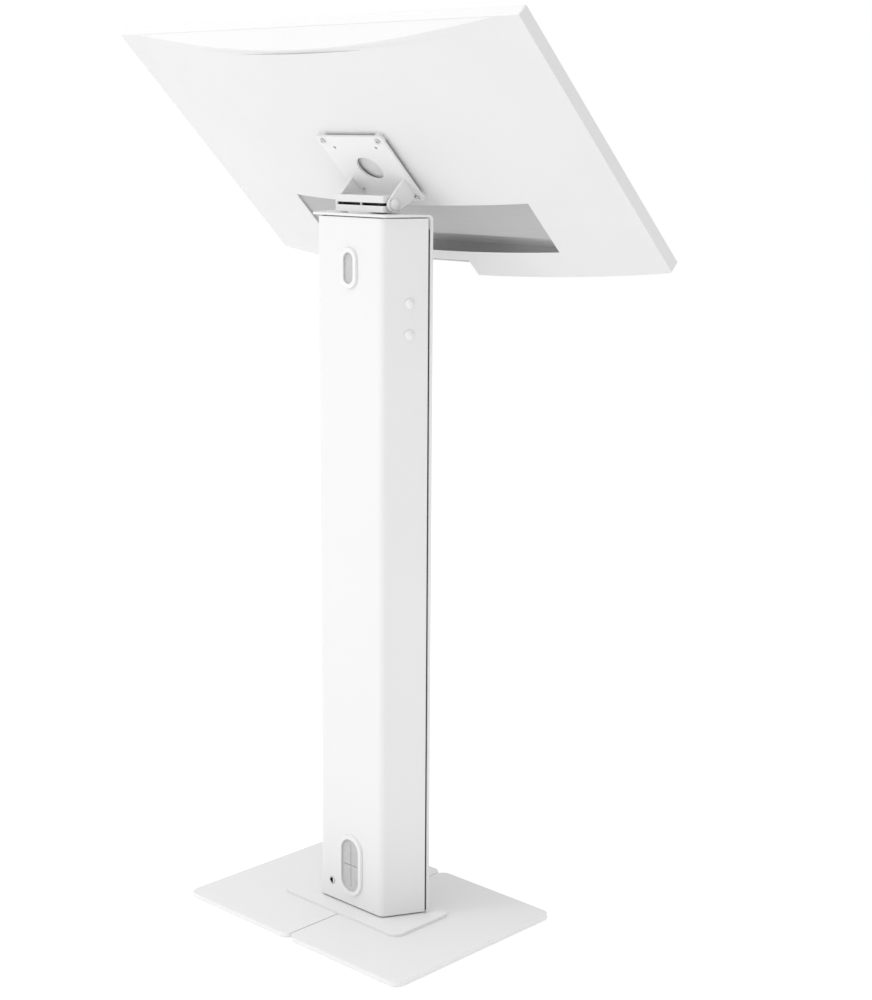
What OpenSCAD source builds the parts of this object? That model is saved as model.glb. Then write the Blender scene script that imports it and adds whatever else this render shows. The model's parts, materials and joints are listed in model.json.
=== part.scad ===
// Touchscreen kiosk: a floor stand with a clamp-type tilt head and a wide touch display.
// Millimetres. X runs left to right as a user in front sees it, -Y is the user's side, +Z is up.
// The origin is on the floor, under the middle of the base.

/* [Base] */
// Width of the floor base, both halves together
base_w = 410; // [340:1:520]
// Depth of the floor base, front to back
base_d = 300; // [260:1:420]
// Thickness of each steel half
base_t = 6; // [4:0.5:10]
// Gap between the two halves
base_seam = 1.6; // [0.8:0.1:4]
// Corner radius of each half
base_corner_r = 13; // [4:0.5:20]
// Thickness of the floor pads
pad_t = 1.5; // [1:0.1:4]
// Radius of the floor pads
pad_r = 9; // [6:0.5:14]
// Width of the foot plate
foot_w = 225; // [215:1:280]
// Depth of the foot plate
foot_d = 106; // [98:1:140]
// Thickness of the foot plate
foot_t = 4; // [3:0.5:8]
// Corner radius of the foot plate
foot_corner_r = 14; // [3:0.5:16]

/* [Column] */
// Height of the top of the cap above the floor
column_h = 951; // [700:1:1200]
// Half width of the cover at its rear face
cover_rear_half = 58.8; // [52:0.1:75]
// Half width of the cover at its front edge
cover_front_half = 87.8; // [80:0.1:104]
// Y of the cover's rear face
cover_rear_y = 32.3; // [29:0.1:44]
// Y of the cover's front edge
cover_front_y = -22.2; // [-30:0.1:-22]
// Sheet thickness of the cover
cover_t = 1.5; // [1:0.1:2.5]
// Outer bend radius of the cover
cover_bend_r = 10; // [3:0.5:14]
// Sheet thickness of the front panel and its cap
panel_t = 3; // [2:0.5:4]
// Gap from the cover's front edge to the front panel
panel_gap = 2; // [1.6:0.1:4]
// How far the front panel stands out past the cover on each side
panel_lip = 3.4; // [2:0.1:8]
// Outer radius of the bend between front panel and cap
panel_bend_r = 7; // [5:0.5:12]
// How far the cap stands out past the cover at its rear corners
cap_lip_side = 7.6; // [3:0.1:12]
// How far the cap stands out past the cover's rear face
cap_lip_rear = 2.2; // [1.5:0.1:8]
// Gap under the cap, above the cover
cover_top_gap = 1.5; // [1.2:0.1:4]
// Gap under the cover, above the foot plate
cover_foot_gap = 1.8; // [1.6:0.1:5]

/* [Post] */
// Width of the inner post
post_w = 50; // [40:1:60]
// Depth of the inner post
post_d = 30; // [24:1:32]
// Wall of the inner post
post_wall = 2; // [1.5:0.5:3]
// Width of the post's foot
post_foot_w = 116; // [104:1:130]
// Thickness of the post's foot
post_foot_t = 5; // [4:0.5:8]
// Thickness of the head plate under the cap
head_plate_t = 4; // [3:0.5:6]
// Radius of the rod that the cover swings on
rod_r = 2.5; // [2:0.1:4]

/* [Cable entries and lock] */
// Height of the upper grommet's centre
upper_grommet_z = 882; // [600:1:1100]
// Width of the upper grommet's ring
upper_grommet_w = 30; // [24:0.5:40]
// Height of the upper grommet's ring
upper_grommet_h = 52.5; // [44:0.5:80]
// Height of the lower grommet's centre
lower_grommet_z = 70.5; // [66:0.5:120]
// Width of the lower grommet's ring
lower_grommet_w = 45.5; // [36:0.5:54]
// Height of the lower grommet's ring
lower_grommet_h = 87.5; // [60:0.5:92]
// How far a grommet ring stands out of the cover
grommet_proud = 3; // [2:0.1:5]
// Width of a grommet ring's rim
grommet_rim = 6.2; // [4:0.1:8]
// X of the key lock
lock_x = 37.1; // [30:0.1:40]
// Height of the key lock
lock_z = 37.9; // [36:0.1:60]
// Radius of the lock's turning plug
lock_plug_r = 4.6; // [4:0.1:6]
// Length of the lock's cam
cam_len = 23; // [16:0.5:28]
// Height of the side studs' middle
stud_z = 819.7; // [500:0.1:1000]
// Distance between the two side studs
stud_pitch = 40; // [25:1:80]
// Radius of a stud's domed head
stud_r = 6.5; // [5:0.1:9]

/* [Tilt head] */
// Angle of the screen from upright
tilt = 45; // [25:1:70]
// Height of the tilt shaft above the cap
pivot_rise = 12; // [11.5:0.1:16]
// Radius of the tilt shaft
shaft_r = 6; // [5:0.1:6.5]
// Running clearance around the tilt shaft
shaft_clear = 0.05; // [0.02:0.01:0.09]
// Width of the clamp jaws
jaw_w = 88; // [76:1:92]
// Depth of the clamp jaws
jaw_d = 30; // [28:1:36]
// Width of the slit between the jaws
jaw_slit = 3.6; // [2:0.1:4]
// Height of the upper jaw
upper_jaw_h = 9; // [8:0.1:14]
// Thickness of the disc under the lower jaw
disc_t = 2; // [1:0.1:3]
// Radius of the disc under the lower jaw
disc_r = 25; // [24:0.5:30]
// Thickness of each tilt ear
ear_t = 4; // [3:0.1:6]
// Gap between a jaw's end and a tilt ear, which the thrust washer fills but for its own clearance
ear_gap = 1.2; // [1:0.1:2]
// Radius of an ear's round end
ear_end_r = 10; // [9:0.1:11]
// Distance from the shaft to the VESA plate's rear face
pivot_to_plate = 34.3; // [30:0.1:40]
// How far the shaft lies below the VESA plate's centre, along the screen
pivot_below = 27.4; // [20:0.1:32]

/* [VESA plate] */
// Width of the VESA plate
plate_w = 119; // [112:1:130]
// Height of the VESA plate
plate_h = 113; // [110:1:130]
// Thickness of the VESA plate
plate_t = 3; // [2:0.5:5]
// Corner radius of the VESA plate
plate_corner_r = 5; // [2:0.5:8]
// Radius of the big hole in its middle
plate_hole_r = 19.8; // [10:0.1:26]
// Height of the round seats between the plate and the display
seat_h = 3.5; // [2:0.1:6]

/* [Display] */
// Width of the display
disp_w = 710; // [590:1:860]
// Height of the display
disp_h = 414; // [404:1:500]
// Thickness of the display's rim
rim_t = 16.4; // [15.5:0.1:24]
// Depth of the display at its middle
disp_depth = 45.2; // [43:0.1:60]
// Wall of the rear housing
shell_t = 2.5; // [2:0.1:3]
// Height of the raised lip along the display's top edge
lip_h = 16; // [12:0.5:24]
// Height of the chin below the lower crease
chin_h = 135; // [130:1:150]
// Half width of the socket recess
recess_half = 212; // [150:1:230]
// Height of the socket recess
recess_h = 89; // [70:1:95]
// Half width of the notch in the chin
notch_half = 51; // [30:1:80]
// Height of the notch in the chin
notch_h = 28.5; // [20:0.5:32]

/* [Hidden] */
$fn = 64;

EPS = 0.02;
THREAD_CLEAR = 0.05;
HOLE_CLEAR = 0.25;

// Colours
WHITE_COAT = [0.94, 0.94, 0.94];
WHITE_PLASTIC = [0.93, 0.93, 0.93];
STEEL = [0.72, 0.72, 0.74];
ZINC = [0.78, 0.78, 0.80];
RUBBER = [0.16, 0.16, 0.17];
LIGHT_GREY = [0.82, 0.82, 0.82];
BLACK = [0.08, 0.08, 0.09];
BOARD_GREEN = [0.10, 0.36, 0.20];

// Heights in the base stack
base_z = pad_t;
foot_z = base_z + base_t;
foot_top = foot_z + foot_t;
half_w = (base_w - base_seam) / 2;
pad_edge = 22;
foot_mid_y = 5;

// Cover outline
flare = atan((cover_front_half - cover_rear_half) / (cover_rear_y - cover_front_y));
cover_bottom = foot_top + cover_foot_gap;
cap_under = column_h - panel_t;
cover_top = cap_under - cover_top_gap;
bend_x = cover_rear_half - cover_bend_r * (1 - sin(flare)) / cos(flare);
bend_y = cover_rear_y - cover_bend_r;
cover_inner_y = cover_rear_y - cover_t;

// Front panel and cap outline
panel_rear_y = cover_front_y - panel_gap;
panel_front_y = panel_rear_y - panel_t;
panel_half = cover_front_half + panel_lip;
cap_rear_y = cover_rear_y + cap_lip_rear;
cap_rear_half = cover_rear_half + cap_lip_side;

// Post
post_front_y = panel_rear_y;
post_foot_d = 44;
post_foot_mid_y = post_front_y + post_foot_d / 2;
post_bottom = foot_top + post_foot_t;
head_plate_z = cap_under - head_plate_t;
head_plate_w = 112;
head_plate_d = 42;
head_plate_mid_y = panel_rear_y + panel_bend_r - panel_t + head_plate_d / 2;
bolt_r = 4;
post_bolt_x = 43;
post_bolt_y = 12;
panel_screw_r = 2.5;
panel_screw_x = 12.5;
panel_screw_skin = 0.6;
access_r = 5.5;
panel_screw_levels = [120, column_h / 2, column_h - 120];

// Cover hinge
rod_drop = 8;
rod_z = head_plate_z - rod_drop;
bracket_reach = 15;
rod_y = 22.4;
rod_len = 92;
tab_t = 3;
tab_x = 26;
bracket_t = 4;
bracket_x = 40;
tab_end_r = 5.5;
tab_h = 14;

// Lock
lock_y = cover_inner_y;
plug_len = 20;
housing_r = 8;
housing_len = 13;
nut_t = 3;
cam_w = 12;
cam_t = 2;
cam_y = lock_y + cover_t - plug_len - cam_t;
cam_screw_r = 1.5;

// Side studs, on the cover's right flank as seen from behind
stud_y = -0.3;
stud_shank_r = 3;

// Clamp head
pivot_z = column_h + pivot_rise;
lower_jaw_z = column_h + disc_t;
slit_low = pivot_z - jaw_slit / 2;
slit_high = pivot_z + jaw_slit / 2;
lower_jaw_h = slit_low - lower_jaw_z;
bore_r = shaft_r + shaft_clear;
jaw_bolt_r = 2.5;
jaw_bolt_x = 17;
jaw_bolt_y = 10.3;
jaw_bolt_reach = 4;
clamp_screw_r = 2;
clamp_screw_y = 10.3;
clamp_screw_xs = [-34, 0, 34];
clamp_head_r = 3.5;
clamp_seat_drop = 4;
clamp_seat_z = slit_high + upper_jaw_h - clamp_seat_drop;
jaw_floor = 1;
ear_in = jaw_w / 2 + ear_gap;
ear_out = ear_in + ear_t;
washer_t = ear_gap - 0.3;
shaft_end = ear_out + 3;
cap_nut_r = 7.4;
cap_nut_len = 5.4;

// Display frame: local x across, y up along the screen, z from the VESA plate's rear face to the front
back_z = plate_t + seat_h;
front_z = back_z + disp_depth;
rim_z = front_z - rim_t;
half_dw = disp_w / 2;
half_dh = disp_h / 2;
rim_corner_r = 3;
crease_up = half_dh - lip_h;
crease_down = half_dh - chin_h;
rim_ledge = 1.5;
main_r = arc_radius(half_dw - rim_ledge, rim_z - back_z);
tilt_start = 60;
tilt_drop = 5.5;
tilt_back = atan(tilt_drop / (crease_up - tilt_start));
lip_rise = 2.5;
lip_half = half_dw - 115;
slope_top = 2;
slope_end = 0.5;
lip_r = arc_radius(lip_half, arc_depth(main_r, lip_half) + lip_rise);
scoop_half = 105;
scoop_drop = 1.3;
scoop_h = 7;
scoop_r = arc_radius(scoop_half, arc_depth(main_r, scoop_half) - scoop_drop);
chin_drop = 2;
chin_half = half_dw - 45;
chin_r = arc_radius(chin_half, arc_depth(main_r, chin_half) - chin_drop);
fade_step = 0.15;
strips = 24;
recess_floor = back_z + 13.5;
trough_floor = back_z + 19.5;
trough_h = 22;
notch_floor = back_z + 23.5;
bezel_z = front_z - 6;
bezel_wall = 2.6;
vesa_100 = 50;
vesa_75 = 37.5;
vesa_screw_r = 2;
vesa_head_r = 3.6;
vesa_head_h = 2.4;
seat_r = 7;
glass_gap = 0.3;
ledge_w = 5.6;
glass_t = 3;
glass_z = front_z - glass_gap - glass_t;
cell_t = 1.6;
cell_z = glass_z - glass_gap - cell_t;
light_t = 5.4;
light_z = cell_z - glass_gap - light_t;
light_margin = 10;
chassis_t = 1.2;
chassis_z = light_z - chassis_t;
chassis_gap = 0.5;
boss_r = 3.2;
boss_x = half_dw - shell_t - boss_r + 0.6;
boss_vs = [-150, 0, 150];
boss_screw_r = 1.5;

// Electronics behind the chassis
bracket_w = 118;
bracket_plate_t = 2;
bracket_z = back_z + shell_t + arc_depth(main_r, bracket_w / 2) + 0.3;
bracket_post_r = 5;
board_t = 1.6;
board_near = bracket_w / 2 + 7;
board_w = 130;
board_h = 114;
board_low = -crease_down + shell_t + 0.5;
board_z = back_z + shell_t + arc_depth(main_r, board_near + board_w) + 1;
standoff_r = 2.5;
standoff_inset = 6;
socket_h = 6;
socket_depth = 14;
socket_clear = 0.3;
socket_z = board_z - socket_h;
socket_low = -crease_down + 0.4;
video_x = board_near + 10;
usb_xs = [board_near + 28, board_near + 44];
inlet_x = -board_near - 14;
speaker_x = half_dw - 205;
speaker_w = 90;
speaker_h = 32;
speaker_t = 13;

// Power button on the display's lower edge
button_r = 3.5;
button_x = -(half_dw - 85);
button_z = chassis_z - 6.6;
button_gap = 0.3;
button_proud = 1;
button_travel = 0.8;
flange_r = 4.6;
flange_t = 1;
button_len = 6;

// Radius of an arc with this half chord and rise
function arc_radius(half, rise) = (half * half + rise * rise) / (2 * rise);
// Depth of an arc of radius r at x
function arc_depth(r, x) = r - sqrt(r * r - x * x);
// Points on an arc, from angle a to b
function arc_points(c, r, a, b, n = 8) =
    [for (i = [0 : n]) c + r * [cos(a + (b - a) * i / n), sin(a + (b - a) * i / n)]];
function mirror_points(p) = [for (i = [len(p) - 1 : -1 : 0]) [-p[i][0], p[i][1]]];
// Half outline of the cover's sheet at depth t inside its outer face
function cover_half(t) = concat(
    [[cover_front_half - t / cos(flare), cover_front_y]],
    arc_points([bend_x, bend_y], cover_bend_r - t, flare, 90));

// Flat plate in the XY plane with round corners, centred
module round_plate(w, d, t, r) {
    linear_extrude(t) {
        square([w - 2 * r, d], center = true);
        square([w, d - 2 * r], center = true);
        for (x = [-1, 1], y = [-1, 1]) translate([x * (w / 2 - r), y * (d / 2 - r)]) circle(r);
    }
}

// Upright oval (stadium) outline, w wide and h tall
module oval(w, h) {
    square([w, h - w], center = true);
    for (s = [-1, 1]) translate([0, s * (h - w) / 2]) circle(w / 2);
}

// Puts a flat XY outline upright on the rear face and extrudes it from y0 to y1
module on_rear(x, z, y0, y1) {
    translate([x, y1, z]) rotate([90, 0, 0]) linear_extrude(y1 - y0) children();
}

// Cap screw: shank from the origin down -Z, head above it
module cap_screw(r, len, head_r, head_h, socket_r = 0) {
    difference() {
        union() {
            translate([0, 0, -len]) cylinder(r = r, h = len + head_h / 2);
            cylinder(r = head_r, h = head_h);
        }
        if (socket_r > 0) translate([0, 0, head_h / 2]) cylinder(r = socket_r, h = head_h, $fn = 6);
    }
}

// Countersunk screw: its flat face at the origin, shank down -Z
module flat_screw(r, len, head_r) {
    difference() {
        union() {
            translate([0, 0, -len]) cylinder(r = r, h = len);
            translate([0, 0, r - head_r]) cylinder(r1 = r, r2 = head_r, h = head_r - r);
        }
        translate([0, 0, -r * 0.6]) cylinder(r = r * 0.75, h = r, $fn = 6);
    }
}

// Moves its children into the display's own frame
module at_display() {
    translate([0, 0, pivot_z]) rotate([90 - tilt, 0, 0])
        translate([0, pivot_below, pivot_to_plate]) children();
}

/* Base */

base_screw_r = 3;
base_screw_head = 6;
base_screw_xs = [30, 90];
base_screw_ys = [-32, 42];
base_screw_skin = 0.8;

module each_base_screw() {
    for (s = [-1, 1], x = base_screw_xs, y = base_screw_ys) translate([s * x, y, 0]) children();
}

module base_half(side) {
    difference() {
        translate([side * (base_seam + half_w) / 2, 0, base_z])
            round_plate(half_w, base_d, base_t, base_corner_r);
        each_base_screw() translate([0, 0, base_z]) {
            translate([0, 0, -EPS]) cylinder(r = base_screw_r + HOLE_CLEAR, h = base_t + 2 * EPS);
            translate([0, 0, -EPS])
                cylinder(r1 = base_screw_head + HOLE_CLEAR + EPS, r2 = base_screw_r + HOLE_CLEAR,
                    h = base_screw_head - base_screw_r + EPS);
        }
    }
}

module base_plate_left() { color(WHITE_COAT) base_half(-1); }

module base_plate_right() { color(WHITE_COAT) base_half(1); }

module floor_pads() {
    pad_x = half_w - pad_edge;
    pad_y = base_d / 2 - pad_edge;
    color(RUBBER) {
        cylinder(r = pad_r, h = pad_t);
        for (side = [-1, 1], x = [pad_edge, pad_x], y = [-1, 1])
            translate([side * x, y * pad_y, 0]) cylinder(r = pad_r, h = pad_t);
    }
}

module foot_plate() {
    color(WHITE_COAT) difference() {
        translate([0, foot_mid_y, foot_z]) round_plate(foot_w, foot_d, foot_t, foot_corner_r);
        each_base_screw() translate([0, 0, foot_z - EPS])
            cylinder(r = base_screw_r + THREAD_CLEAR, h = foot_t - base_screw_skin + EPS);
        each_post_bolt() translate([0, 0, foot_z - EPS])
            cylinder(r = bolt_r + THREAD_CLEAR, h = foot_t + 2 * EPS);
    }
}

module base_screws() {
    color(ZINC) each_base_screw() translate([0, 0, base_z]) rotate([180, 0, 0])
        flat_screw(base_screw_r, base_t + foot_t - base_screw_skin - 0.2, base_screw_head);
}

/* Post */

module each_post_bolt() {
    for (s = [-1, 1], t = [-1, 1])
        translate([s * post_bolt_x, post_foot_mid_y + t * post_bolt_y, 0]) children();
}

module post_foot() {
    color(STEEL) difference() {
        translate([0, post_foot_mid_y, foot_top]) round_plate(post_foot_w, post_foot_d, post_foot_t, 4);
        each_post_bolt() translate([0, 0, foot_top - EPS])
            cylinder(r = bolt_r + HOLE_CLEAR, h = post_foot_t + 2 * EPS);
    }
}

module each_panel_screw() {
    for (z = panel_screw_levels, s = [-1, 1]) translate([s * panel_screw_x, 0, z]) children();
}

module spine_post() {
    post_len = head_plate_z - post_bottom;
    color(STEEL) difference() {
        translate([-post_w / 2, post_front_y, post_bottom]) cube([post_w, post_d, post_len]);
        translate([-post_w / 2 + post_wall, post_front_y + post_wall, post_bottom - EPS])
            cube([post_w - 2 * post_wall, post_d - 2 * post_wall, post_len + 2 * EPS]);
        each_panel_screw() translate([0, post_front_y - EPS, 0]) rotate([-90, 0, 0])
            cylinder(r = panel_screw_r + HOLE_CLEAR, h = post_wall + 2 * EPS);
        each_panel_screw() translate([0, post_front_y + post_d - post_wall - EPS, 0])
            rotate([-90, 0, 0]) cylinder(r = access_r, h = post_wall + 2 * EPS);
    }
}

module post_bolts() {
    color(ZINC) each_post_bolt() translate([0, 0, post_bottom])
        cap_screw(bolt_r, post_foot_t + foot_t - 0.3, 6.5, 5, 3.2);
}

module head_plate() {
    color(STEEL) difference() {
        translate([0, head_plate_mid_y, head_plate_z])
            round_plate(head_plate_w, head_plate_d, head_plate_t, 3);
        each_jaw_bolt() translate([0, 0, head_plate_z - EPS])
            cylinder(r = jaw_bolt_r + HOLE_CLEAR, h = head_plate_t + 2 * EPS);
    }
}

/* Front panel and cap: one bent sheet */

// Side profile of the bent sheet, in Y and Z
module panel_profile() {
    c = [panel_front_y + panel_bend_r, column_h - panel_bend_r];
    polygon(concat(
        [[panel_rear_y, foot_top], [panel_front_y, foot_top]],
        arc_points(c, panel_bend_r, 180, 90),
        [[cap_rear_y, column_h], [cap_rear_y, cap_under]],
        arc_points(c, panel_bend_r - panel_t, 90, 180)));
}

// Outline of the bent sheet from above
module cap_outline() {
    corner = 4;
    square_y = panel_front_y + panel_bend_r;
    side = atan((panel_half - cap_rear_half) / (cap_rear_y - square_y));
    c = [cap_rear_half - corner * (1 - sin(side)) / cos(side), cap_rear_y - corner];
    right = concat(
        [[panel_half, panel_front_y], [panel_half, square_y]],
        arc_points(c, corner, side, 90));
    polygon(concat(right, mirror_points(right)));
}

module front_panel() {
    color(WHITE_COAT) difference() {
        intersection() {
            translate([-panel_half, 0, 0]) rotate([90, 0, 90])
                linear_extrude(2 * panel_half) panel_profile();
            translate([0, 0, foot_top]) linear_extrude(column_h - foot_top) cap_outline();
        }
        each_jaw_bolt() translate([0, 0, cap_under - EPS])
            cylinder(r = jaw_bolt_r + HOLE_CLEAR, h = panel_t + 2 * EPS);
        each_panel_screw() translate([0, panel_rear_y + EPS, 0]) rotate([90, 0, 0])
            cylinder(r = panel_screw_r + THREAD_CLEAR, h = panel_t - panel_screw_skin + EPS);
    }
}

module panel_screws() {
    color(ZINC) each_panel_screw() translate([0, post_front_y + post_wall, 0]) rotate([-90, 0, 0])
        cap_screw(panel_screw_r, post_wall + panel_t - panel_screw_skin - 0.2, 4.2, 3, 2);
}

/* Cover hinge */

module hinge_brackets() {
    color(STEEL) for (s = [-1, 1]) translate([s * bracket_x - bracket_t / 2, rod_y, rod_z]) difference() {
        union() {
            translate([0, -bracket_reach, 0]) cube([bracket_t, bracket_reach + tab_end_r, rod_drop]);
            rotate([0, 90, 0]) cylinder(r = tab_end_r, h = bracket_t);
        }
        translate([-EPS, 0, 0]) rotate([0, 90, 0])
            cylinder(r = rod_r + THREAD_CLEAR, h = bracket_t + 2 * EPS);
    }
}

module cover_hinge_rod() {
    color(ZINC) translate([-rod_len / 2, rod_y, rod_z]) rotate([0, 90, 0])
        cylinder(r = rod_r, h = rod_len);
}

/* Clamp head on the cap */

module each_jaw_bolt() {
    for (x = [-1, 1], y = [-1, 1]) translate([x * jaw_bolt_x, y * jaw_bolt_y, 0]) children();
}

module each_clamp_screw() {
    for (x = clamp_screw_xs, y = [-1, 1]) translate([x, y * clamp_screw_y, 0]) children();
}

module spacer_disc() {
    color(LIGHT_GREY) difference() {
        translate([0, 0, column_h]) cylinder(r = disc_r, h = disc_t);
        each_jaw_bolt() translate([0, 0, column_h - EPS])
            cylinder(r = jaw_bolt_r + HOLE_CLEAR, h = disc_t + 2 * EPS);
    }
}

module jaw_bolts() {
    color(ZINC) each_jaw_bolt() translate([0, 0, head_plate_z]) rotate([180, 0, 0])
        cap_screw(jaw_bolt_r, head_plate_t + panel_t + disc_t + jaw_bolt_reach - 0.3, 4.2, 3.5, 2);
}

module jaw_blank(z, h) {
    translate([0, 0, z]) round_plate(jaw_w, jaw_d, h, 1.5);
}

module shaft_bore() {
    translate([-jaw_w, 0, pivot_z]) rotate([0, 90, 0]) cylinder(r = bore_r, h = 2 * jaw_w, $fn = 96);
}

module lower_jaw() {
    color(WHITE_COAT) difference() {
        jaw_blank(lower_jaw_z, lower_jaw_h);
        shaft_bore();
        each_jaw_bolt() translate([0, 0, lower_jaw_z - EPS])
            cylinder(r = jaw_bolt_r + THREAD_CLEAR, h = jaw_bolt_reach + EPS);
        each_clamp_screw() translate([0, 0, lower_jaw_z + jaw_floor])
            cylinder(r = clamp_screw_r + THREAD_CLEAR, h = lower_jaw_h);
    }
}

module upper_jaw() {
    color(WHITE_COAT) difference() {
        jaw_blank(slit_high, upper_jaw_h);
        shaft_bore();
        each_clamp_screw() {
            translate([0, 0, slit_high - EPS])
                cylinder(r = clamp_screw_r + HOLE_CLEAR, h = upper_jaw_h);
            translate([0, 0, clamp_seat_z])
                cylinder(r = clamp_head_r + HOLE_CLEAR, h = clamp_seat_drop + 1);
        }
    }
}

module clamp_screws() {
    reach = clamp_seat_z - lower_jaw_z - jaw_floor - 0.3;
    color(ZINC) each_clamp_screw() translate([0, 0, clamp_seat_z])
        cap_screw(clamp_screw_r, reach, clamp_head_r, clamp_seat_drop - 0.4, 1.6);
}

/* Rear cover */

module rear_cover() {
    outer = cover_half(0);
    inner = cover_half(cover_t);
    color(WHITE_COAT) difference() {
        translate([0, 0, cover_bottom]) linear_extrude(cover_top - cover_bottom) difference() {
            polygon(concat(outer, mirror_points(outer)));
            polygon(concat([[cover_front_half, cover_front_y - 1]], inner,
                mirror_points(inner), [[-cover_front_half, cover_front_y - 1]]));
        }
        on_rear(0, upper_grommet_z, cover_inner_y - 1, cover_rear_y + 1)
            oval(upper_grommet_w - 2 * grommet_rim + 2 * ring_neck,
                upper_grommet_h - 2 * grommet_rim + 2 * ring_neck);
        on_rear(0, lower_grommet_z, cover_inner_y - 1, cover_rear_y + 1)
            oval(lower_grommet_w - 2 * grommet_rim + 2 * ring_neck,
                lower_grommet_h - 2 * grommet_rim + 2 * ring_neck);
        on_rear(lock_x, lock_z, cover_inner_y - 1, cover_rear_y + 1) circle(lock_plug_r + 0.8);
        each_stud() translate([0, 0, -4]) cylinder(r = stud_shank_r + HOLE_CLEAR, h = 8);
    }
}

module hinge_tabs() {
    color(STEEL) for (s = [-1, 1]) translate([s * tab_x - tab_t / 2, 0, 0]) difference() {
        union() {
            translate([0, rod_y, rod_z - tab_end_r]) cube([tab_t, cover_inner_y - rod_y, 2 * tab_end_r]);
            translate([0, rod_y, rod_z]) rotate([0, 90, 0]) cylinder(r = tab_end_r, h = tab_t);
            translate([-4, cover_inner_y - 1.5, rod_z - tab_h])
                cube([tab_t + 8, 1.5, 1.5 * tab_h]);
        }
        translate([-EPS, rod_y, rod_z]) rotate([0, 90, 0])
            cylinder(r = rod_r + shaft_clear, h = tab_t + 2 * EPS);
    }
}

// Grommets: a ring with a neck through the cover, and a membrane held in the ring
ring_neck = 1.6;
neck_clear = 0.05;
membrane_t = 1.2;

module grommet_ring(w, h, z) {
    in_w = w - 2 * grommet_rim;
    in_h = h - 2 * grommet_rim;
    color(WHITE_PLASTIC) difference() {
        union() {
            on_rear(0, z, cover_rear_y, cover_rear_y + grommet_proud * 0.6) oval(w, h);
            on_rear(0, z, cover_rear_y, cover_rear_y + grommet_proud) oval(w - 1.6, h - 1.6);
            on_rear(0, z, cover_inner_y - 2.5, cover_rear_y + 1)
                oval(in_w + 2 * ring_neck - 2 * neck_clear, in_h + 2 * ring_neck - 2 * neck_clear);
        }
        on_rear(0, z, cover_inner_y - 3, cover_rear_y + grommet_proud + 1) oval(in_w, in_h);
        on_rear(0, z, cover_rear_y - membrane_t - 0.1, cover_rear_y) oval(in_w + 1.4, in_h + 1.4);
    }
}

module grommet_membrane(w, h, z, slit) {
    in_w = w - 2 * grommet_rim + 1.2;
    in_h = h - 2 * grommet_rim + 1.2;
    color(LIGHT_GREY) difference() {
        on_rear(0, z, cover_rear_y - membrane_t - 0.05, cover_rear_y - 0.05) oval(in_w, in_h);
        if (slit) {
            on_rear(0, z, cover_rear_y - 3, cover_rear_y + 1) square([0.8, in_h * 0.8], center = true);
            on_rear(0, z, cover_rear_y - 3, cover_rear_y + 1) square([in_w * 0.8, 0.8], center = true);
        }
    }
}

module upper_grommet_ring() { grommet_ring(upper_grommet_w, upper_grommet_h, upper_grommet_z); }

module upper_grommet_membrane() {
    grommet_membrane(upper_grommet_w, upper_grommet_h, upper_grommet_z, false);
}

module lower_grommet_ring() { grommet_ring(lower_grommet_w, lower_grommet_h, lower_grommet_z); }

module lower_grommet_membrane() {
    grommet_membrane(lower_grommet_w, lower_grommet_h, lower_grommet_z, true);
}

/* Lock */

module lock_housing() {
    color(ZINC) on_rear(lock_x, lock_z, lock_y - housing_len, lock_y) difference() {
        circle(housing_r);
        circle(lock_plug_r + THREAD_CLEAR);
    }
}

module lock_nut() {
    color(STEEL) on_rear(lock_x, lock_z, lock_y - nut_t, lock_y) difference() {
        circle(housing_r + 3.4, $fn = 6);
        circle(housing_r + THREAD_CLEAR);
    }
}

module lock_plug() {
    color(ZINC) difference() {
        on_rear(lock_x, lock_z, cam_y + cam_t, cover_rear_y + 0.2) circle(lock_plug_r);
        on_rear(lock_x, lock_z, cover_rear_y - 7, cover_rear_y + 1) square([2, 7], center = true);
        on_rear(lock_x, lock_z, cam_y, cam_y + cam_t + 6) circle(cam_screw_r + THREAD_CLEAR);
    }
}

module lock_cam() {
    color(STEEL) on_rear(lock_x, lock_z, cam_y, cam_y + cam_t) difference() {
        union() {
            circle(cam_w / 2);
            translate([0, -cam_w / 2]) square([cam_len - cam_w / 2, cam_w]);
            translate([cam_len - cam_w / 2, 0]) circle(cam_w / 2);
        }
        circle(cam_screw_r + HOLE_CLEAR);
    }
}

module cam_screw() {
    color(ZINC) translate([lock_x, cam_y, lock_z]) rotate([90, 0, 0])
        cap_screw(cam_screw_r, cam_t + 5, 3, 2);
}

/* Side studs on the cover's flank at -X */

stud_x = -(cover_rear_half + (cover_rear_y - stud_y) * tan(flare));

module each_stud() {
    for (s = [-1, 1])
        translate([stud_x, stud_y, stud_z + s * stud_pitch / 2]) rotate([0, -90, -flare]) children();
}

module side_studs() {
    collar = 1.2;
    dome_h = 3.4;
    dome_ball = (stud_r * stud_r + dome_h * dome_h) / (2 * dome_h);
    color(WHITE_PLASTIC) each_stud() {
        translate([0, 0, -cover_t - 6]) cylinder(r = stud_shank_r, h = cover_t + 6 + collar / 2);
        cylinder(r = stud_r, h = collar);
        translate([0, 0, collar]) intersection() {
            translate([0, 0, dome_h - dome_ball]) sphere(dome_ball);
            cylinder(r = stud_r, h = dome_h + 1);
        }
    }
}

module stud_nuts() {
    color(ZINC) each_stud() translate([0, 0, -cover_t - 3.5]) difference() {
        cylinder(r = 5.6, h = 3.5, $fn = 6);
        translate([0, 0, -EPS]) cylinder(r = stud_shank_r + THREAD_CLEAR, h = 4);
    }
}

/* Tilting head */

module tilt_shaft() {
    color(STEEL) translate([-shaft_end, 0, pivot_z]) rotate([0, 90, 0])
        cylinder(r = shaft_r, h = 2 * shaft_end, $fn = 96);
}

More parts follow.
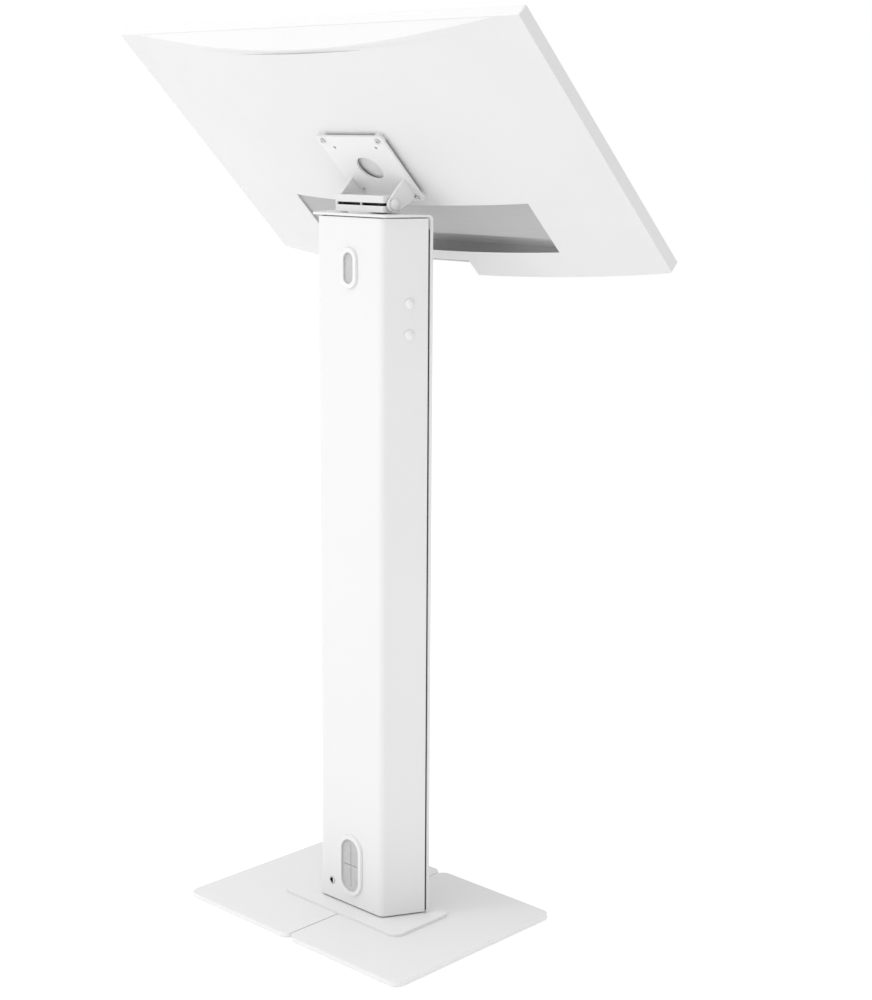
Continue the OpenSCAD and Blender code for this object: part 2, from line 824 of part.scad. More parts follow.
module shaft_caps() {
    ball = (cap_nut_r * cap_nut_r + 3 * 3) / 6;
    color(WHITE_COAT) for (s = [0, 1]) mirror([s, 0, 0]) translate([ear_out, 0, pivot_z])
        rotate([0, 90, 0]) difference() {
            union() {
                cylinder(r = cap_nut_r, h = cap_nut_len - 3);
                translate([0, 0, cap_nut_len - 3]) intersection() {
                    translate([0, 0, 3 - ball]) sphere(ball);
                    cylinder(r = cap_nut_r, h = 4);
                }
            }
            translate([0, 0, -EPS]) cylinder(r = shaft_r + THREAD_CLEAR, h = 3.1 + EPS);
        }
}

module thrust_washers() {
    color(LIGHT_GREY) for (s = [0, 1]) mirror([s, 0, 0])
        translate([ear_in - washer_t, 0, pivot_z]) rotate([0, 90, 0]) difference() {
            cylinder(r = ear_end_r - 0.5, h = washer_t);
            translate([0, 0, -EPS]) cylinder(r = shaft_r + THREAD_CLEAR, h = washer_t + 2 * EPS);
        }
}

// Ear outline about the shaft: x up along the screen, y from the shaft to the plate
ear_plate_top = ear_end_r;
ear_plate_low = -23;

module tilt_ear(side) {
    low = atan2(pivot_to_plate, ear_plate_low);
    reach = sqrt(pivot_to_plate * pivot_to_plate + ear_plate_low * ear_plate_low);
    tangent = low + acos(ear_end_r / reach);
    color(WHITE_COAT) difference() {
        translate([side > 0 ? ear_in : -ear_out, 0, pivot_z])
            rotate([90 - tilt, 0, 0]) rotate([90, 0, 90]) linear_extrude(ear_t) difference() {
                union() {
                    circle(ear_end_r);
                    polygon([[ear_plate_top, 0], [ear_plate_top, pivot_to_plate],
                        [ear_plate_low, pivot_to_plate],
                        ear_end_r * [cos(tangent), sin(tangent)], [0, 0]]);
                }
                circle(shaft_r + THREAD_CLEAR);
            }
        // Relief round the heads of the lower display screws
        at_display() each_vesa(vesa_100) translate([0, 0, -vesa_head_h - 0.5])
            cylinder(r = vesa_head_r + 0.4, h = vesa_head_h + 1);
    }
}

module tilt_ear_left() { tilt_ear(-1); }

module tilt_ear_right() { tilt_ear(1); }

module each_vesa(half) {
    for (x = [-1, 1], y = [-1, 1]) translate([x * half, y * half, 0]) children();
}

module vesa_plate() {
    color(WHITE_COAT) at_display() difference() {
        round_plate(plate_w, plate_h, plate_t, plate_corner_r);
        translate([0, 0, -EPS]) {
            cylinder(r = plate_hole_r, h = plate_t + 2 * EPS);
            each_vesa(vesa_100) cylinder(r = vesa_screw_r + HOLE_CLEAR, h = plate_t + 2 * EPS);
            each_vesa(vesa_75) cylinder(r = vesa_screw_r + HOLE_CLEAR, h = plate_t + 2 * EPS);
        }
    }
}

module vesa_screws() {
    color(ZINC) at_display() each_vesa(vesa_100) rotate([180, 0, 0])
        cap_screw(vesa_screw_r, plate_t + seat_h + shell_t + 5, vesa_head_r, vesa_head_h, 1.4);
}

// Steel bracket inside the display that takes the screws: a plate and four threaded posts
module mount_bracket() {
    color(STEEL) at_display() difference() {
        union() {
            translate([0, 0, bracket_z]) round_plate(bracket_w, bracket_w, bracket_plate_t, 4);
            each_vesa(vesa_100) translate([0, 0, bracket_z])
                cylinder(r = bracket_post_r, h = chassis_z - bracket_z);
        }
        each_vesa(vesa_100) translate([0, 0, bracket_z - EPS])
            cylinder(r = vesa_screw_r + THREAD_CLEAR, h = 8);
    }
}

/* Display housing */

// Depth of the back at x in each zone, from the crown height c of the middle zone
function main_z(c, x) = c + arc_depth(main_r, x);
function chin_z(c, x) = max(c + chin_drop + arc_depth(chin_r, x), main_z(c, x) + fade_step);
function lip_z(c, x) = min(c + tilt_drop - lip_rise + arc_depth(lip_r, x),
    main_z(c + tilt_drop, x) - fade_step);
function scoop_z(c, x) = c + tilt_drop + scoop_drop + arc_depth(scoop_r, x);
// Section across the display: the back, then straight sides up to z = top
function section(w, top, z) = concat([[-w, top]],
    [for (i = [-strips : strips]) let (x = w * i / strips) [x, min(z(x), top - 1)]], [[w, top]]);

module bar(points, y0, y1) {
    translate([0, y1, 0]) rotate([90, 0, 0]) linear_extrude(y1 - y0) polygon(points);
}

// Solid with the outline of the rear housing, every face taken in by o
module housing_solid(o, top) {
    w = half_dw - o;
    h = half_dh - o;
    reach = half_dw + 2;
    crown = back_z + o;
    step = crease_up + o;
    chin_top = -crease_down + o;
    lip_crown = crown + tilt_drop - lip_rise;
    slope_run = lip_h - slope_top - slope_end;
    slope_rise = rim_z + o - lip_crown;
    slope_in = o * tan(atan2(slope_rise, slope_run) / 2);
    intersection() {
        round_plate(2 * w, 2 * h, top, rim_corner_r);
        union() {
            translate([-reach, -h - 1, rim_z + o]) cube([2 * reach, 2 * h + 2, top]);
            // Middle, which leans forward towards the top
            intersection() {
                bar(section(reach, top + 1, function(x) main_z(crown, x)), chin_top, step);
                translate([0, tilt_start, crown]) rotate([tilt_back, 0, 0])
                    bar(section(reach, top, function(x) main_z(0, x)),
                        -crease_down - 2 * tilt_start, half_dh);
            }
            bar(section(reach, top + 1, function(x) chin_z(crown, x)), -h - 1, chin_top);
            // Raised lip, sloping to the rim
            intersection() {
                bar(section(reach, top + 1, function(x) lip_z(crown, x)), step, h + 1);
                translate([-reach - 1, 0, 0]) rotate([90, 0, 90]) linear_extrude(2 * reach + 2)
                    polygon([[crease_up - 1, lip_crown - 1],
                        [crease_up + slope_top - slope_in - slope_run / slope_rise, lip_crown - 1],
                        [half_dh - slope_end - slope_in, rim_z + o],
                        [half_dh - slope_end - slope_in, top + 1], [crease_up - 1, top + 1]]);
            }
        }
    }
}

// Shallow scoop under the lip
module scoop() {
    difference() {
        translate([-scoop_half - 1, crease_up - scoop_h, 0])
            cube([2 * scoop_half + 2, scoop_h, back_z + tilt_drop + 10]);
        bar(section(half_dw, bezel_z, function(x) scoop_z(back_z, x)), crease_up - scoop_h - 1,
            crease_up + 1);
    }
}

// Recess, trough and notch, grown by g
module housing_pockets(g) {
    translate([-recess_half - g, -crease_down - recess_h - g, 0]) {
        translate([0, trough_h, 0]) cube([2 * (recess_half + g), recess_h - trough_h + 2 * g,
            recess_floor + g]);
        cube([2 * (recess_half + g), trough_h + 2 * g + EPS, trough_floor + g]);
    }
    translate([-notch_half - g, -half_dh - 10, 0])
        cube([2 * (notch_half + g), 10 + notch_h + g, notch_floor + g]);
}

module each_boss() {
    for (s = [-1, 1], v = boss_vs) translate([s * boss_x, v, 0]) children();
}

// Openings for the sockets in the recess's upper wall, g larger than the sockets
module socket_shapes(g) {
    translate([0, socket_low - g, socket_z - g]) {
        translate([video_x - g, 0, 0]) cube([15 + 2 * g, socket_depth, socket_h + 2 * g]);
        for (x = usb_xs) translate([x - g, 0, 0]) cube([13 + 2 * g, socket_depth, socket_h + 2 * g]);
        translate([inlet_x - g, 0, 0]) cube([12 + 2 * g, socket_depth, socket_h + 2 * g]);
    }
}

module rear_housing() {
    color(WHITE_PLASTIC) at_display() difference() {
        union() {
            difference() {
                housing_solid(0, bezel_z);
                difference() {
                    housing_solid(shell_t, bezel_z + 1);
                    housing_pockets(shell_t);
                }
                housing_pockets(0);
                scoop();
            }
            each_vesa(vesa_100) translate([0, 0, plate_t]) cylinder(r = seat_r, h = bracket_z - plate_t);
            each_boss() translate([0, 0, rim_z + 0.8]) cylinder(r = boss_r, h = chassis_z - rim_z - 0.8);
        }
        each_vesa(vesa_100) translate([0, 0, plate_t - EPS])
            cylinder(r = vesa_screw_r + HOLE_CLEAR, h = bracket_z - plate_t + 2 * EPS);
        each_boss() translate([0, 0, rim_z + 1.4]) cylinder(r = boss_screw_r + THREAD_CLEAR, h = 10);
        socket_shapes(socket_clear);
        translate([button_x, -half_dh + shell_t + 1, button_z]) rotate([90, 0, 0])
            cylinder(r = button_r + button_gap, h = shell_t + 2);
    }
}

/* Display front */

module window(w, h, z0, z1) {
    translate([-w / 2, -h / 2, z0]) cube([w, h, z1 - z0]);
}

module front_bezel() {
    inner_w = disp_w - 2 * bezel_wall;
    inner_h = disp_h - 2 * bezel_wall;
    color(WHITE_PLASTIC) at_display() difference() {
        translate([0, 0, bezel_z]) round_plate(disp_w, disp_h, front_z - bezel_z, rim_corner_r);
        window(disp_w - 2 * ledge_w, disp_h - 2 * ledge_w, bezel_z - 1, front_z);
        window(inner_w, inner_h, glass_z, front_z + 1);
    }
}

module touch_glass() {
    inset = bezel_wall + glass_gap;
    color(BLACK) at_display()
        window(disp_w - 2 * inset, disp_h - 2 * inset, glass_z, glass_z + glass_t);
}

module lcd_cell() {
    inset = ledge_w + glass_gap;
    color(BLACK) at_display()
        window(disp_w - 2 * inset, disp_h - 2 * inset, cell_z, cell_z + cell_t);
}

module backlight() {
    color(LIGHT_GREY) at_display()
        window(disp_w - 2 * light_margin, disp_h - 2 * light_margin, light_z, light_z + light_t);
}

module display_chassis() {
    side = 2 * (shell_t + chassis_gap);
    color(STEEL) at_display() difference() {
        window(disp_w - side, disp_h - side - 8, chassis_z, chassis_z + chassis_t);
        each_boss() translate([0, 0, chassis_z - EPS])
            cylinder(r = boss_screw_r + HOLE_CLEAR, h = chassis_t + 2 * EPS);
    }
}

module chassis_screws() {
    color(ZINC) at_display() each_boss() translate([0, 0, chassis_z + chassis_t])
        cap_screw(boss_screw_r, chassis_t + chassis_z - rim_z - 1.6, 2.4, 1.8);
}

/* Display electronics */

module board(x, chips) {
    translate([x, board_low, board_z]) {
        cube([board_w, board_h, board_t]);
        for (c = chips) translate([c[0], c[1], board_t - EPS]) cube([c[2], c[3], c[4]]);
    }
}

module main_board() {
    color(BOARD_GREEN) at_display()
        board(board_near, [[40, 44, 32, 32, 5], [20, 82, 18, 12, 2.5], [86, 30, 22, 14, 3]]);
}

module power_board() {
    color(BOARD_GREEN) at_display()
        board(-board_near - board_w, [[20, 30, 34, 30, 14], [66, 44, 20, 26, 12], [30, 78, 26, 20, 10]]);
}

module board_standoffs() {
    z = board_z + board_t;
    color(ZINC) at_display() for (s = [-1, 1], x = [standoff_inset, board_w - standoff_inset],
        y = [standoff_inset, board_h - standoff_inset])
        translate([s * (board_near + x), board_low + y, z]) cylinder(r = standoff_r, h = chassis_z - z);
}

module touch_controller() {
    color(BOARD_GREEN) at_display() {
        window_at(-30, 80, chassis_z - board_t, 60, 26, board_t);
        window_at(-9, 86, chassis_z - board_t - 2, 18, 14, 2 + EPS);
    }
}

module window_at(x, y, z, w, h, t) {
    translate([x, y, z]) cube([w, h, t]);
}

module speakers() {
    color(BLACK) at_display() for (s = [0, 1]) mirror([s, 0, 0]) difference() {
        window_at(speaker_x, -half_dh + shell_t + 2, chassis_z - speaker_t, speaker_w, speaker_h,
            speaker_t);
        translate([speaker_x + speaker_w / 2, -half_dh + shell_t + 2 + speaker_h / 2,
            chassis_z - speaker_t - EPS]) cylinder(r = 11, h = 3);
    }
}

module socket_row() {
    color(STEEL) at_display() {
        difference() {
            window_at(video_x, socket_low, socket_z, 15, socket_depth, socket_h);
            window_at(video_x + 1, socket_low - 1, socket_z + 1, 13, socket_depth - 3, socket_h - 2);
        }
        for (x = usb_xs) difference() {
            window_at(x, socket_low, socket_z, 13, socket_depth, socket_h);
            window_at(x + 1, socket_low - 1, socket_z + 1, 11, socket_depth - 3, socket_h - 2);
        }
    }
}

module power_inlet() {
    color(BLACK) at_display() difference() {
        window_at(inlet_x, socket_low, socket_z, 12, socket_depth, socket_h);
        translate([inlet_x + 6, socket_low + 9, socket_z + socket_h / 2]) rotate([90, 0, 0])
            cylinder(r = 2.2, h = 12);
    }
}

module button_switch() {
    low = -half_dh - button_proud + button_len + button_travel + button_gap;
    color(BLACK) at_display() window_at(button_x - 6, low, button_z - 4, 12, 8, chassis_z - button_z + 4);
}

module power_button() {
    low = -half_dh - button_proud;
    color(LIGHT_GREY) at_display() translate([button_x, low + button_len, button_z])
        rotate([90, 0, 0]) {
            cylinder(r = button_r, h = button_len);
            translate([0, 0, button_len - button_proud - shell_t - button_gap - flange_t])
                cylinder(r = flange_r, h = flange_t);
        }
}

base_plate_left();
base_plate_right();
floor_pads();
foot_plate();
base_screws();
post_foot();
spine_post();
post_bolts();
head_plate();
front_panel();
panel_screws();
hinge_brackets();
cover_hinge_rod();
spacer_disc();
jaw_bolts();
lower_jaw();
upper_jaw();
clamp_screws();
rear_cover();
hinge_tabs();
upper_grommet_ring();
upper_grommet_membrane();
lower_grommet_ring();
lower_grommet_membrane();
lock_housing();
lock_nut();
side_studs();
stud_nuts();
lock_plug();
lock_cam();
cam_screw();
tilt_shaft();
shaft_caps();
thrust_washers();
tilt_ear_left();
tilt_ear_right();
vesa_plate();
vesa_screws();
mount_bracket();
rear_housing();
front_bezel();
touch_glass();
lcd_cell();
backlight();
display_chassis();
chassis_screws();
main_board();
power_board();
board_standoffs();
touch_controller();
speakers();
socket_row();
power_inlet();
button_switch();
power_button();
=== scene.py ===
"""Looks of a touchscreen kiosk: finishes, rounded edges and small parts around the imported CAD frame.

Lengths are in metres. X runs to the user's right, -Y towards the user and Z up, with the origin on the
floor under the middle of the base. The display's own frame is tilted: "up" runs up along the screen and
"out" from its back towards the user.
"""
import json
import math

import bpy
from mathutils import Matrix, Vector
from bpy.props import FloatProperty, FloatVectorProperty, IntProperty, PointerProperty


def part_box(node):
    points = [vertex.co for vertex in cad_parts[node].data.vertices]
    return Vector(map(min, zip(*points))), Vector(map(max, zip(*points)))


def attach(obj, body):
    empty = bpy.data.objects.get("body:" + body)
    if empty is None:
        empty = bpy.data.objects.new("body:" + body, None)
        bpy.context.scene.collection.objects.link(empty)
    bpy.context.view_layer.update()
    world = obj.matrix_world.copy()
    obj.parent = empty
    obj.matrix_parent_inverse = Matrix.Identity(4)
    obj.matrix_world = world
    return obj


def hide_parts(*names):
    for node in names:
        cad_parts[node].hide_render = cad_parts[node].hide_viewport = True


bl_info = {
    "name": "Touchscreen kiosk",
    "version": (1, 0, 0),
    "blender": (4, 5, 0),
    "location": "View3D > Sidebar > Kiosk",
    "description": "Rounds the edges and sets the finishes of a floor-standing touchscreen kiosk",
    "category": "Object",
}

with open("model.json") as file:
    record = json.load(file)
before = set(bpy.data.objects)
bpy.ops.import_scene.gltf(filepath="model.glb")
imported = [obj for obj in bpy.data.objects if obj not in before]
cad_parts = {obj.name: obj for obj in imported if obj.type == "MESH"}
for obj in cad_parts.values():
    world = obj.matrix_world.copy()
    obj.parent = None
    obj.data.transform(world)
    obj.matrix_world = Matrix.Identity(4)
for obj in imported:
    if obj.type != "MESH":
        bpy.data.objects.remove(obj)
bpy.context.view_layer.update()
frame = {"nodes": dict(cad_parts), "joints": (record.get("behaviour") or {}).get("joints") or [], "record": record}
TILT_JOINT = next(j for j in frame["joints"] if j["name"] == "head_tilt")
PIVOT = Vector(TILT_JOINT["pos_m"])
# From the tilt shaft to the middle of the screen's height, and to the face of the display plate
SHAFT_BELOW = 0.0274
SHAFT_TO_PLATE = 0.0343


# Properties

class KioskSizes(bpy.types.PropertyGroup):
    """Sizes that a user would change."""
    plate_edge: FloatProperty(
        name="Plate edge", description="Rounding of the thick base and foot plates",
        default=0.0009, min=0.0002, max=0.002, unit="LENGTH", precision=5)
    sheet_edge: FloatProperty(
        name="Sheet edge", description="Rounding of the thin column sheets",
        default=0.00045, min=0.0001, max=0.0006, unit="LENGTH", precision=5)
    block_edge: FloatProperty(
        name="Block edge", description="Rounding of the clamp jaws and tilt ears",
        default=0.0007, min=0.0002, max=0.0015, unit="LENGTH", precision=5)
    screw_edge: FloatProperty(
        name="Screw edge", description="Rounding of the screw heads",
        default=0.00035, min=0.0001, max=0.0008, unit="LENGTH", precision=5)
    shell_edge: FloatProperty(
        name="Shell edge", description="Rounding of the display housing",
        default=0.0009, min=0.0002, max=0.002, unit="LENGTH", precision=5)
    bead: FloatProperty(
        name="Grommet bead", description="Rounding of the cable grommets' rings",
        default=0.0013, min=0.0004, max=0.0014, unit="LENGTH", precision=5)
    segments: IntProperty(
        name="Edge segments", description="Number of strips round each rounded edge",
        default=3, min=1, max=6)


class KioskFinishes(bpy.types.PropertyGroup):
    """Colours that a user would change."""
    coat: FloatVectorProperty(
        name="Powder coat", description="Colour of the coated steel", subtype="COLOR", size=3,
        default=(0.75, 0.75, 0.75), min=0, max=1)
    shell: FloatVectorProperty(
        name="Display housing", description="Colour of the moulded housing", subtype="COLOR", size=3,
        default=(0.70, 0.70, 0.70), min=0, max=1)
    # The recess colour is the panel's own grey, taken darker as painted shade inside the recess
    recess: FloatVectorProperty(
        name="Socket recess", description="Colour of the recess round the sockets", subtype="COLOR",
        size=3, default=(0.40, 0.40, 0.40), min=0, max=1)
    ring: FloatVectorProperty(
        name="Grommets", description="Colour of the cable grommets' rings", subtype="COLOR", size=3,
        default=(0.76, 0.76, 0.76), min=0, max=1)
    # The membrane colour is the rubber's grey taken darker as painted shade of its recess inside the ring
    membrane_and_shade: FloatVectorProperty(
        name="Membranes", description="Colour of the grommets' membranes", subtype="COLOR", size=3,
        default=(0.50, 0.50, 0.50), min=0, max=1)
    spacer: FloatVectorProperty(
        name="Spacers", description="Colour of the disc and the washers of the clamp", subtype="COLOR",
        size=3, default=(0.62, 0.62, 0.62), min=0, max=1)
    steel: FloatVectorProperty(
        name="Plain steel", description="Colour of the uncoated steel", subtype="COLOR", size=3,
        default=(0.52, 0.52, 0.54), min=0, max=1)
    zinc: FloatVectorProperty(
        name="Zinc", description="Colour of the plated screws", subtype="COLOR", size=3,
        default=(0.60, 0.61, 0.63), min=0, max=1)


def sizes():
    return bpy.context.scene.kiosk_sizes


def finishes():
    return bpy.context.scene.kiosk_finishes


# Materials

# Sockets of the mix node when it mixes colours; their names repeat, so they go by number
MIX_FACTOR = 0
MIX_DARK = 6
MIX_LIGHT = 7
MIX_RESULT = 2
# Most noise lies between these two values
NOISE_LOW = 0.3
NOISE_HIGH = 0.7


class Graph:
    """A material's node graph, with the few node patterns that the finishes share."""

    def __init__(self, name, roughness=0.5, metallic=0.0):
        self.material = bpy.data.materials.new(name)
        self.material.use_nodes = True
        self.nodes = self.material.node_tree.nodes
        self.links = self.material.node_tree.links
        self.shader = self.nodes["Principled BSDF"]
        self.shader.inputs["Roughness"].default_value = roughness
        self.shader.inputs["Metallic"].default_value = metallic
        self.place = self.nodes.new("ShaderNodeTexCoord").outputs["Object"]

    def add(self, kind, **values):
        node = self.nodes.new(kind)
        for key, value in values.items():
            setattr(node, key, value)
        return node

    def link(self, source, target):
        self.links.new(source, target)

    def noise(self, scale, detail=3.0, stretch=None):
        """Noise on the object's own place, scale in turns per metre."""
        source = self.place
        if stretch:
            mapping = self.add("ShaderNodeMapping")
            mapping.inputs["Scale"].default_value = stretch
            self.link(source, mapping.inputs["Vector"])
            source = mapping.outputs["Vector"]
        node = self.add("ShaderNodeTexNoise")
        node.inputs["Scale"].default_value = scale
        node.inputs["Detail"].default_value = detail
        self.link(source, node.inputs["Vector"])
        return node.outputs["Fac"]

    def spread(self, source, low, high):
        """Noise, from its usual lowest to its usual highest value, spread from low to high."""
        node = self.add("ShaderNodeMapRange")
        node.inputs["From Min"].default_value = NOISE_LOW
        node.inputs["From Max"].default_value = NOISE_HIGH
        node.inputs["To Min"].default_value = low
        node.inputs["To Max"].default_value = high
        self.link(source, node.inputs["Value"])
        return node.outputs["Result"]

    def tint(self, source, colour, change):
        """Colour, from change darker where source is low to change lighter where it is high."""
        node = self.add("ShaderNodeMix", data_type="RGBA")
        node.inputs[MIX_DARK].default_value = (*[c * (1 - change) for c in colour], 1)
        node.inputs[MIX_LIGHT].default_value = (*[min(1, c * (1 + change)) for c in colour], 1)
        self.link(self.spread(source, 0, 1), node.inputs[MIX_FACTOR])
        return node.outputs[MIX_RESULT]

    def bump(self, source, strength, depth):
        node = self.add("ShaderNodeBump")
        node.inputs["Strength"].default_value = strength
        node.inputs["Distance"].default_value = depth
        self.link(source, node.inputs["Height"])
        self.link(node.outputs["Normal"], self.shader.inputs["Normal"])

    def colour(self, source):
        self.link(source, self.shader.inputs["Base Color"])

    def roughness(self, source):
        self.link(source, self.shader.inputs["Roughness"])


def powder_coat(name, colour):
    """Baked powder coat: an even white with a faint orange peel and soft gloss."""
    g = Graph(name)
    g.colour(g.tint(g.noise(5, 2), colour, 0.008))
    g.roughness(g.spread(g.noise(60, 3), 0.40, 0.50))
    g.bump(g.noise(700, 2), 0.10, 0.0001)
    return g.material


def moulded_plastic(name, colour, roughness=(0.44, 0.54)):
    """Moulded plastic with a fine spark-eroded grain."""
    g = Graph(name)
    g.colour(g.tint(g.noise(9, 2), colour, 0.01))
    g.roughness(g.spread(g.noise(90, 3), *roughness))
    g.bump(g.noise(1500, 3), 0.12, 0.00008)
    return g.material


def satin_panel(name, colour):
    """Silver-painted panel with a satin sheen and fine lines along its length."""
    g = Graph(name, metallic=0.55)
    lines = g.noise(500, 3, stretch=(0.05, 1, 1))
    g.colour(g.tint(lines, colour, 0.05))
    g.roughness(g.spread(lines, 0.30, 0.42))
    g.bump(lines, 0.12, 0.00005)
    return g.material


def rubber(name, colour):
    """Soft rubber: dull, with a slight mottle."""
    g = Graph(name)
    g.colour(g.tint(g.noise(120, 3), colour, 0.05))
    g.roughness(g.spread(g.noise(240, 2), 0.62, 0.78))
    g.bump(g.noise(1800, 2), 0.15, 0.00006)
    return g.material


def brushed_steel(name, colour, along=(1, 1, 0.04), roughness=(0.30, 0.46)):
    """Rolled or drawn steel, its fine lines running along the axis with the small stretch."""
    g = Graph(name, metallic=1.0)
    lines = g.noise(900, 4, stretch=along)
    g.colour(g.tint(lines, colour, 0.06))
    g.roughness(g.spread(lines, *roughness))
    g.bump(lines, 0.10, 0.00004)
    return g.material


def zinc_plate(name, colour):
    """Bright zinc on screws: slightly cloudy, with a faint blue cast in places."""
    g = Graph(name, metallic=1.0)
    g.colour(g.tint(g.noise(220, 3), colour, 0.07))
    g.roughness(g.spread(g.noise(400, 3), 0.24, 0.40))
    g.bump(g.noise(2500, 2), 0.06, 0.00003)
    return g.material


def chrome(name):
    """Polished plate with fine hairlines from keys."""
    g = Graph(name, metallic=1.0)
    lines = g.noise(1600, 3, stretch=(1, 1, 0.1))
    g.colour(g.tint(lines, (0.78, 0.78, 0.79), 0.03))
    g.roughness(g.spread(lines, 0.10, 0.22))
    return g.material


def dark_glass(name):
    """Front glass over a panel that is switched off: black, glossy, with a faint smear of touches."""
    g = Graph(name)
    g.colour(g.tint(g.noise(3, 2), (0.010, 0.011, 0.013), 0.2))
    g.roughness(g.spread(g.noise(14, 4), 0.03, 0.09))
    g.shader.inputs["Coat Weight"].default_value = 0.6
    g.shader.inputs["Coat Roughness"].default_value = 0.03
    return g.material


def circuit_board(name):
    """Green solder mask with paler copper runs under it."""
    g = Graph(name)
    runs = g.add("ShaderNodeTexBrick")
    runs.inputs["Scale"].default_value = 160
    runs.inputs["Mortar Size"].default_value = 0.03
    runs.inputs["Color1"].default_value = (0.012, 0.10, 0.045, 1)
    runs.inputs["Color2"].default_value = (0.016, 0.13, 0.055, 1)
    runs.inputs["Mortar"].default_value = (0.05, 0.24, 0.10, 1)
    g.link(g.place, runs.inputs["Vector"])
    g.colour(runs.outputs["Color"])
    g.roughness(g.spread(g.noise(300, 2), 0.28, 0.42))
    g.bump(g.noise(700, 2), 0.2, 0.0001)
    return g.material


MATERIALS = {}


def material(name):
    """The finish of that name, made once."""
    if name not in MATERIALS:
        f = finishes()
        makers = {
            "powder_white": lambda: powder_coat(name, f.coat),
            "display_white": lambda: moulded_plastic(name, f.shell),
            "recess_grey_and_shade": lambda: satin_panel(name, f.recess),
            "grommet_white": lambda: moulded_plastic(name, f.ring, roughness=(0.36, 0.46)),
            "membrane_grey": lambda: rubber(name, f.membrane_and_shade),
            "rubber_black": lambda: rubber(name, (0.03, 0.03, 0.03)),
            "steel_plain": lambda: brushed_steel(name, f.steel),
            "steel_black": lambda: brushed_steel(name, (0.05, 0.05, 0.055), along=(0.04, 1, 1)),
            "zinc_plated": lambda: zinc_plate(name, f.zinc),
            "lock_chrome": lambda: chrome(name),
            "spacer_grey": lambda: moulded_plastic(name, f.spacer, roughness=(0.5, 0.6)),
            "front_glass": lambda: dark_glass(name),
            "cell_black": lambda: moulded_plastic(name, (0.02, 0.02, 0.022), roughness=(0.2, 0.3)),
            "board_green": lambda: circuit_board(name),
            "plastic_black": lambda: moulded_plastic(name, (0.025, 0.025, 0.027)),
            "socket_steel": lambda: brushed_steel(name, (0.6, 0.6, 0.6), along=(1, 0.05, 0.05)),
            "button_grey": lambda: moulded_plastic(name, (0.5, 0.5, 0.5)),
        }
        MATERIALS[name] = makers[name]()
    return MATERIALS[name]


# Modelling helpers

# Two faces that meet at more than this many degrees have an edge between them
EDGE_ANGLE = 32
# After rounding, only the turns that are still sharper than this many degrees stay sharp
SHARP_ANGLE = 40
# Vertices nearer than this are one, and triangles flatter than this many degrees are one face
MERGE_DISTANCE = 1e-6
FLAT_ANGLE = 0.08


def only(piece):
    """Deselects everything but this piece, and makes it active."""
    if bpy.context.object and bpy.context.object.mode != "OBJECT":
        bpy.ops.object.mode_set(mode="OBJECT")
    bpy.ops.object.select_all(action="DESELECT")
    piece.select_set(True)
    bpy.context.view_layer.objects.active = piece


def in_edit_mode(piece, *steps):
    """Runs each step on all of the piece's mesh."""
    only(piece)
    bpy.ops.object.mode_set(mode="EDIT")
    for step in steps:
        bpy.ops.mesh.select_all(action="SELECT")
        step()
    bpy.ops.object.mode_set(mode="OBJECT")


def copy_node(node, name):
    """A piece of its own with the CAD node's shape, its triangles merged into clean faces."""
    source = frame["nodes"][node]
    piece = bpy.data.objects.new(name, source.data.copy())
    bpy.context.scene.collection.objects.link(piece)
    piece.data.materials.clear()
    in_edit_mode(
        piece,
        lambda: bpy.ops.mesh.customdata_custom_splitnormals_clear(),
        lambda: bpy.ops.mesh.remove_doubles(threshold=MERGE_DISTANCE),
        lambda: bpy.ops.mesh.dissolve_limited(angle_limit=math.radians(FLAT_ANGLE)),
    )
    return piece


def apply_modifier(piece, kind, **values):
    only(piece)
    modifier = piece.modifiers.new(kind.title(), kind)
    for key, value in values.items():
        setattr(modifier, key, value)
    bpy.ops.object.modifier_apply(modifier=modifier.name)


def smooth(piece, angle=EDGE_ANGLE):
    only(piece)
    bpy.ops.object.shade_smooth_by_angle(angle=math.radians(angle))


def round_edges(piece, width, segments=None):
    """Rounds every edge of the piece, and keeps the flat faces flat in shading."""
    apply_modifier(
        piece, "BEVEL", width=width, segments=segments or sizes().segments, limit_method="ANGLE",
        angle_limit=math.radians(EDGE_ANGLE), use_clamp_overlap=True, miter_outer="MITER_ARC")
    smooth(piece, SHARP_ANGLE)
    apply_modifier(piece, "WEIGHTED_NORMAL", keep_sharp=True, weight=100)


def finish_piece(piece, finish, body, *nodes):
    """Gives the piece its finish, and its place in the frame instead of the CAD nodes."""
    if not piece.data.materials:
        piece.data.materials.append(material(finish))
    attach(piece, body)
    if nodes:
        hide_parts(*nodes)
    return piece


def block(name, foot, size, edge, finish, body):
    """A rounded block that stands on its foot point."""
    bpy.ops.object.select_all(action="DESELECT")
    bpy.ops.mesh.primitive_cube_add(size=1, location=foot + Vector((0, 0, size.z / 2)))
    piece = bpy.context.object
    piece.name = name
    piece.scale = size
    bpy.ops.object.transform_apply(location=True, rotation=True, scale=True)
    round_edges(piece, edge, segments=2)
    return finish_piece(piece, finish, body)


def body_of_node(node):
    bodies = frame["record"]["behaviour"]["bodies"]
    return next(body for body, nodes in bodies.items() if node in nodes)


def slot_of_node(node):
    return next(s["material_slot"] for s in frame["record"]["subparts"] if s["node"] == node)


def dress(node, width, segments=None):
    """Stands a rounded copy in for a CAD node, in the node's own finish."""
    piece = copy_node(node, node + "_finished")
    round_edges(piece, width, segments)
    return finish_piece(piece, slot_of_node(node), body_of_node(node), node)


def repaint(node, finish=None):
    """Leaves a CAD node as it is, in its own finish or the given one."""
    target = frame["nodes"][node]
    target.data.materials.clear()
    target.data.materials.append(material(finish or slot_of_node(node)))


def display_place(point):
    """A point's place in the display: across, up the screen from its middle, out from the plate."""
    up = (point.y + point.z - PIVOT.z) * math.sqrt(0.5)
    out = (-point.y + point.z - PIVOT.z) * math.sqrt(0.5)
    return Vector((point.x, up - SHAFT_BELOW, out - SHAFT_TO_PLATE))
